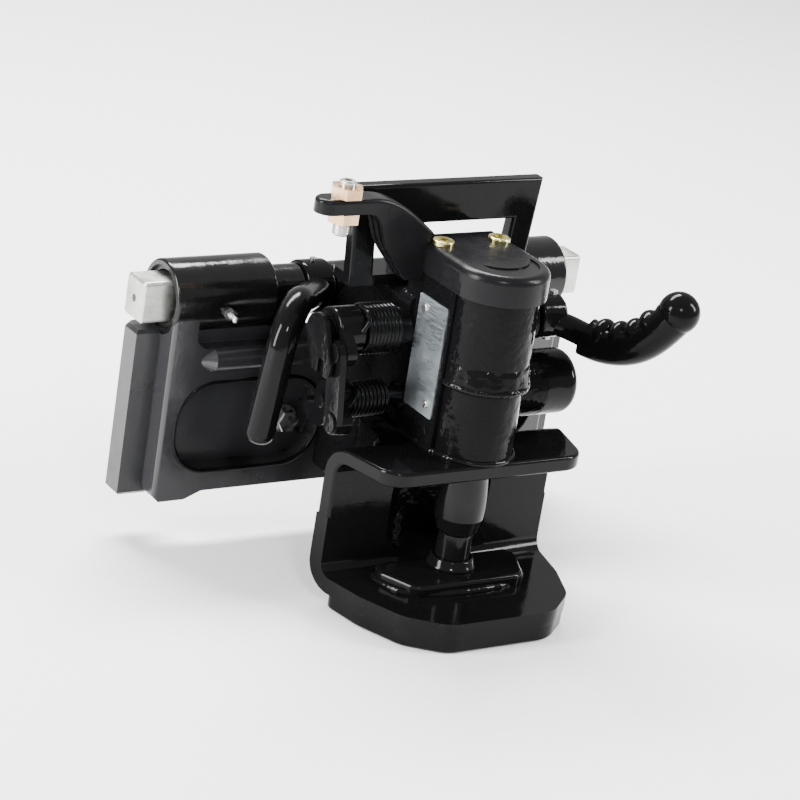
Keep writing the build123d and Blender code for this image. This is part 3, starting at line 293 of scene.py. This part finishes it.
# Places and sizes of the part that the pieces go by.
JAW_TOP = 57.0                               # top of the upper jaw plate
JAW_FLOOR = -45.0                            # top of the lower jaw plate
JAW_FOOT = -57.0                             # underside of the lower jaw plate
JAW_BACK_Y = 38.0                            # rear face of the jaw's back wall
HEAD_HALF = 34.0                             # half width of the head between its flat sides
HEAD_FOOT_R = 30.5                           # front cylinder of the head at its foot
HEAD_R = 32.0                                # and above the ridge
RIDGE_Z = 114.0                              # weld ridge round the head
PLATE_Y = 146.0                              # front face of the carrier plate
TUBE_YZ = (172.0, 122.0)                     # axis of the cross tubes
SHAFT_YZ = (60.0, 133.0)                     # axis of the main shaft
TRIGGER_YZ = (52.0, 82.0)                    # axis of the trigger shaft
LEVER_COIL_R, LEVER_WIRE = 17.4, 3.4         # lever spring: middle of its wire, and the wire's thickness
TRIGGER_COIL_R, TRIGGER_WIRE = 12.5, 3.2     # the same of the trigger spring
CABLE_XY = (-104.0, 55.0)                    # axis of the cable adjuster
GRIP_ROUTE = [(114, 32, 125), (125, 10, 125.5), (133, -8, 134.5), (140, -21, 150), (146, -30, 166)]

# The pieces' own sizes.
BEAD_STEP = 0.7                              # spacing of a weld bead's rings
RIPPLE_LAG = 1.4                             # how far a bead's ripples lean, in radians
SWELLING, SWELLING_SCALE = 0.3, 90           # a bead's slow swellings: share of its radius, steps per metre
TAPER_START, TAPER_STEP = 0.4, 0.12          # size of a bead's first ring, and how fast the next ones grow
HEAD_BEAD_Y = (4.0, 48.0)                    # the beads along the head's flat sides begin and end here
THROAT_BEAD_X, THROAT_BEAD_Z = 55.5, 55.0    # half width between the throat's beads, and their half length
WEAR_BEAD_HALF = [(57, 14.5), (62, 3), (47, -30)]   # right half of the wear plate's bead, from the back
BOTTOM_BEAD_X, BOTTOM_BEAD_Y = 84.0, 24.0    # half length and place of the bottom plate's bead
LUMP_SCALE = 0.11                            # steps per millimetre of the lumps on a turned piece
POCKET_X, POCKET_Z = 101.0, 24.0             # middle of a lower pocket in the carrier plate
POCKET_HALF_X, POCKET_HALF_Z = 62.8, 36.2    # half sizes of its rim
POCKET_CORNER, CORNER_STEPS = 31.0, 6        # the rim's corner radius and the steps round a corner
WEB_SPANS = {"left": (-89.8, -63.0), "right": (-31.0, 89.8)}   # the webs' X, either side of the lug
WEB_R = (18.2, 29.0)                         # their inner and outer radius about the cross tubes' axis
WEB_ARC = range(200, 260, 5)                 # their angles in degrees, from +Y
WIRE_STEP = 1.2                              # spacing of a spring wire's rings
FINGER_PLACES = (0.17, 0.36, 0.55, 0.74)     # ridges between the fingers, as shares of the grip's length
FINGER_HALF = (9.5, 14.6, 14.6)              # a ridge's half sizes along and across the grip
FINGER_LIFT = 3.4                            # how far its middle lies above the grip's
FINGER_UP = (0, 0.35, 1)                     # upper side of the grip
THREAD_PITCH, THREAD_R, THREAD_HALF = 1.5, 5.9, 0.62   # THREAD_HALF is the radius of its round ridge
THREAD_STOPS = (218.5, 246.5)                # it stops here, 1 mm below and above the adjuster's nuts
THREAD_STEPS = 28                            # steps of a turn


def add_piece(name, points, faces, material):
    """Mesh piece on the carrier; its faces are smooth, apart from flat ends."""
    mesh = bpy.data.meshes.new(name)
    mesh.from_pydata(points, [], faces)
    mesh.polygons.foreach_set("use_smooth", [len(face) < 5 for face in faces])
    mesh.materials.append(material)
    piece = bpy.data.objects.new(name, mesh)
    scene.collection.objects.link(piece)
    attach(piece, "carrier")


def spaced(points, step):
    """The same line with points a step apart."""
    result = [points[0]]
    left = step
    for a, b in zip(points, points[1:]):
        length = (b - a).length
        while length > left:
            a = a.lerp(b, left / length)
            length = (b - a).length
            result.append(a)
            left = step
        left -= length
    return result


def rounded_route(corners, step, closed=False):
    """Points a step apart along the corners, with the corners cut round."""
    points = [Vector(corner) * MM for corner in corners]
    for _ in range(3):
        ends = points + points[:1] if closed else points
        cut = [a.lerp(b, t) for a, b in zip(ends, ends[1:]) for t in (0.25, 0.75)]
        points = cut if closed else points[:1] + cut + points[-1:]
    return spaced(points + points[:1] if closed else points, step)


def add_tube(name, path, radius_at, material, sides=10):
    """Tube with closed ends along the path; radius_at takes a ring's number and an angle round it."""
    points, faces = [], []
    normal = (path[1] - path[0]).orthogonal()
    for i, here in enumerate(path):
        along = (path[min(i + 1, len(path) - 1)] - path[max(i - 1, 0)]).normalized()
        normal = (normal - along * normal.dot(along)).normalized()
        across = along.cross(normal)
        for k in range(sides):
            angle = math.tau * k / sides
            points.append(here + (normal * math.cos(angle) + across * math.sin(angle)) * radius_at(i, angle))
    for i in range(len(path) - 1):
        low = i * sides
        high = low + sides
        for k in range(sides):
            next_k = (k + 1) % sides
            faces.append((low + k, low + next_k, high + next_k, high + k))
    faces.append(tuple(reversed(range(sides))))
    faces.append(tuple(range(len(points) - sides, len(points))))
    add_piece(name, points, faces, material)


def add_bead(name, corners, radius, closed=False, ripple=0.06):
    """Weld bead with ripples, slow swellings and, where it isn't closed, tapered ends."""
    path = rounded_route(corners, BEAD_STEP * MM, closed)
    last = len(path) - 1

    def radius_at(i, angle):
        wave = ripple * math.sin(i + RIPPLE_LAG * math.cos(angle))
        swelling = SWELLING * noise.noise(path[i] * SWELLING_SCALE)
        taper = 1.0 if closed else min(1.0, TAPER_START + TAPER_STEP * min(i, last - i))
        return radius * MM * taper * (1 + wave + swelling)

    add_tube(name, path, radius_at, WELD)


def arc_corners(radius, z, start, end, count=24):
    """Points round the coupling pin's axis, angles in degrees from +X."""
    turns = [math.radians(start + (end - start) * i / count) for i in range(count + 1)]
    return [(radius * math.cos(turn), radius * math.sin(turn), z) for turn in turns]


def make_beads():
    """Weld beads of the head, its ridge, the throat casting, the wear plate and the bottom plate."""
    front_y, rear_y = HEAD_BEAD_Y
    foot_arc = arc_corners(HEAD_FOOT_R, JAW_TOP + 1, 180, 360)
    foot = [(-HEAD_HALF, rear_y, JAW_TOP), (-HEAD_HALF, front_y, JAW_TOP), *foot_arc,
            (HEAD_HALF, front_y, JAW_TOP), (HEAD_HALF, rear_y, JAW_TOP)]
    add_bead("foot_bead", foot, radius=2.4, ripple=0.02)
    ridge = arc_corners(HEAD_R + 0.6, RIDGE_Z - 0.5, 178, 362)
    add_bead("ridge_bead", ridge, radius=2.8, ripple=0.05)
    for side, name in ((-1, "left"), (1, "right")):
        throat = [(side * THROAT_BEAD_X, JAW_BACK_Y + 1, z) for z in (-THROAT_BEAD_Z, THROAT_BEAD_Z)]
        add_bead(f"throat_bead_{name}", throat, radius=3.0)
    wear = [(-x, y, JAW_FLOOR + 0.5) for x, y in WEAR_BEAD_HALF]
    wear += [(x, y, JAW_FLOOR + 0.5) for x, y in reversed(WEAR_BEAD_HALF)]
    add_bead("wear_plate_bead", wear, radius=3.6, ripple=0.01)
    bottom = [(x, BOTTOM_BEAD_Y, JAW_FOOT) for x in (-BOTTOM_BEAD_X, BOTTOM_BEAD_X)]
    add_bead("bottom_plate_bead", bottom, radius=2.0)


def add_lathe(name, profile, start, end, lump, material, steps=90):
    """Ring about the coupling pin's axis, whole or from start to end in degrees from +X.

    The profile is a closed line of (radius, z), and lump is how uneven the ring's outside is.
    """
    whole = end - start == 360
    inner = min(radius for radius, z in profile)
    points, faces = [], []
    for i in range(steps if whole else steps + 1):
        turn = math.radians(start + (end - start) * i / steps)
        way = Vector((math.cos(turn), math.sin(turn), 0))
        for radius, z in profile:
            spot = way * radius + Vector((0, 0, z))
            outside = radius > inner + 0.5
            uneven = lump * noise.noise(spot * LUMP_SCALE) if outside else 0
            points.append((spot + way * uneven) * MM)
    rows = len(profile)
    for i in range(steps):
        low = i * rows
        high = (i + 1) * rows % len(points)
        for k in range(rows):
            next_k = (k + 1) % rows
            faces.append((low + k, low + next_k, high + next_k, high + k))
    if not whole:
        faces.append(tuple(reversed(range(rows))))
        faces.append(tuple(range(len(points) - rows, len(points))))
    add_piece(name, points, faces, material)


def make_pocket_rims():
    """Rounded rims of the two lower pockets in the carrier plate."""
    for side, name in ((-1, "left"), (1, "right")):
        corners = []
        for x, z, start in ((1, 1, 0), (-1, 1, 90), (-1, -1, 180), (1, -1, 270)):
            at_x = side * POCKET_X + x * (POCKET_HALF_X - POCKET_CORNER)
            at_z = POCKET_Z + z * (POCKET_HALF_Z - POCKET_CORNER)
            for step in range(CORNER_STEPS + 1):
                turn = math.radians(start + 90 * step / CORNER_STEPS)
                corners.append((at_x + POCKET_CORNER * math.cos(turn), PLATE_Y + 0.5,
                                at_z + POCKET_CORNER * math.sin(turn)))
        add_bead(f"pocket_rim_{name}", corners, radius=1.8, closed=True, ripple=0)


def make_tube_webs():
    """Webs that carry the cross tubes on the carrier plate: arcs in front of and under the tubes."""
    y, z = TUBE_YZ
    inner, outer = WEB_R
    turns = [math.radians(degrees) for degrees in WEB_ARC]
    section = [(y + inner * math.cos(turn), z + inner * math.sin(turn)) for turn in turns]
    section += [(y + outer * math.cos(turn), z + outer * math.sin(turn)) for turn in reversed(turns)]
    rows = len(section)
    for name, ends in WEB_SPANS.items():
        points = [Vector((x, *spot)) * MM for x in ends for spot in section]
        faces = [(k, (k + 1) % rows, rows + (k + 1) % rows, rows + k) for k in range(rows)]
        faces.append(tuple(reversed(range(rows))))
        faces.append(tuple(range(rows, 2 * rows)))
        add_piece(f"tube_web_{name}", points, faces, TUBE_PAINT)


def make_ridge_flare():
    """Weld metal drawn up over the cylinder above the ridge."""
    profile = [(31.2, 110), (33.2, 111), (34.2, 113.5), (34.3, 116), (33.5, 119.5), (32.7, 124), (32.1, 130),
               (31.2, 131)]
    add_lathe("ridge_flare", profile, start=182, end=358, lump=1.2, material=ROUGH_CAST)


def make_pin_collar():
    """Raised collar of the lower bush round the pin's stem."""
    profile = [(13.2, -36), (18.2, -36), (18.4, -34.5), (17.2, -33.6), (16.4, -29), (15.6, -28), (13.2, -28)]
    add_lathe("pin_collar", profile, start=0, end=360, lump=0, material=WELD, steps=64)


def add_spring_wire(name, corners, thickness):
    """Bent end of a coil spring."""
    path = rounded_route(corners, WIRE_STEP * MM)
    material = MATERIALS["black_springs"]
    add_tube(name, path, lambda i, angle: thickness / 2 * MM, material, sides=12)


def make_spring_ends():
    """Each spring's outer end bends forward and down, and its foot runs down and in to the head's side."""
    y, z = SHAFT_YZ
    top, rear = z + LEVER_COIL_R, y + LEVER_COIL_R
    outer = [(-74, y, top), (-74, y - 12, top), (-76, y - 18, top - 5), (-81, y - 17, z + 4)]
    foot = [(-47, rear, z), (-47, rear, z - 14), (-44, rear, z - 21), (-36, rear, z - 22)]
    add_spring_wire("lever_spring_end", outer, LEVER_WIRE)
    add_spring_wire("lever_spring_foot", foot, LEVER_WIRE)
    y, z = TRIGGER_YZ
    top, rear = z + TRIGGER_COIL_R, y + TRIGGER_COIL_R
    outer = [(-80, y, top), (-80, y - 14, top), (-84, y - 18, z + 6), (-90, y - 17, z)]
    foot = [(-50, rear, z), (-50, rear, z - 14), (-46, rear, z - 20), (-36, rear, z - 21)]
    add_spring_wire("trigger_spring_end", outer, TRIGGER_WIRE)
    add_spring_wire("trigger_spring_foot", foot, TRIGGER_WIRE)


def make_finger_ridges():
    """Low ridges between the fingers on the upper side of the grip."""
    route = rounded_route(GRIP_ROUTE, 1 * MM)
    for number, share in enumerate(FINGER_PLACES):
        i = int(share * (len(route) - 1))
        along = (route[i + 1] - route[i - 1]).normalized()
        up = Vector(FINGER_UP)
        up = (up - along * up.dot(along)).normalized()
        turn = Matrix((along, along.cross(up), up)).transposed().to_4x4()
        size = Matrix.Diagonal((*(half * MM for half in FINGER_HALF), 1))
        bpy.ops.mesh.primitive_uv_sphere_add(segments=40, ring_count=24, radius=1)
        ridge = bpy.context.object
        ridge.name = f"finger_ridge_{number + 1}"
        ridge.data.transform(Matrix.Translation(route[i] + up * FINGER_LIFT * MM) @ turn @ size)
        ridge.data.polygons.foreach_set("use_smooth", [True] * len(ridge.data.polygons))
        ridge.data.materials.append(MATERIALS["black_grip"])
        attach(ridge, "lever")


def make_thread():
    """Thread of the cable adjuster below and above its nuts."""
    x, y = CABLE_XY
    material = MATERIALS["zinc"]
    bottom, top = (corner.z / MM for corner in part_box("cable_adjuster"))
    for name, z0, z1 in (("low", bottom + 1, THREAD_STOPS[0]), ("high", THREAD_STOPS[1], top - 1)):
        turns = (z1 - z0) / THREAD_PITCH
        steps = int(turns * THREAD_STEPS)
        path = []
        for i in range(steps + 1):
            turn = math.tau * turns * i / steps
            height = z0 + (z1 - z0) * i / steps
            path.append(Vector((x + THREAD_R * math.cos(turn), y + THREAD_R * math.sin(turn), height)) * MM)
        add_tube(f"adjuster_thread_{name}", path, lambda i, angle: THREAD_HALF * MM, material,
                 sides=6)


# Studio

FLOOR_SIZE = 30
FLOOR_GAP = 0.0005        # the floor lies this far under the part
SKY = 0.8                 # brightness of the white surroundings
AIM = (0, 0.06, 0.08)     # the lights point here
LIGHTS = {                # place, width, height and power in watts
    "left softbox": ((-2.0, 0.2, 0.75), 0.5, 1.4, 110),
    "right softbox": ((1.7, -0.9, 1.2), 0.4, 1.2, 70),
    "top softbox": ((0.1, 1.3, 1.9), 1.8, 0.5, 170),
    "front softbox": ((-0.9, -1.9, 1.7), 0.3, 0.3, 30),
}


def make_floor(level):
    bpy.ops.mesh.primitive_plane_add(size=FLOOR_SIZE, location=(0, 0, level))
    floor = bpy.context.object
    floor.name = "floor"
    shader = Shader("floor")
    shader.set(Roughness=0.9, Specular_IOR_Level=0.1)
    clouds = shader.noise(0.8, 2)
    shader.join(shader.mix(clouds, (0.9, 0.9, 0.9), (0.93, 0.93, 0.93)), "Base Color")
    floor.data.materials.append(shader.material)


def make_studio():
    world = bpy.data.worlds.new("studio")
    world.use_nodes = True
    background = world.node_tree.nodes["Background"]
    background.inputs["Color"].default_value = (1, 1, 1, 1)
    background.inputs["Strength"].default_value = SKY
    scene.world = world
    for name, (place, width, height, power) in LIGHTS.items():
        data = bpy.data.lights.new(name, "AREA")
        data.energy = power
        data.shape = "RECTANGLE"
        data.size = width
        data.size_y = height
        light = bpy.data.objects.new(name, data)
        scene.collection.objects.link(light)
        light.location = place
        light.rotation_euler = (Vector(AIM) - Vector(place)).to_track_quat("-Z", "Y").to_euler()


make_camera()
paint_nodes()
make_beads()
make_pocket_rims()
make_tube_webs()
make_ridge_flare()
make_pin_collar()
soften_edges()
make_spring_ends()
make_finger_ridges()
make_thread()
make_floor(cad_box[0].z - FLOOR_GAP)
make_studio()
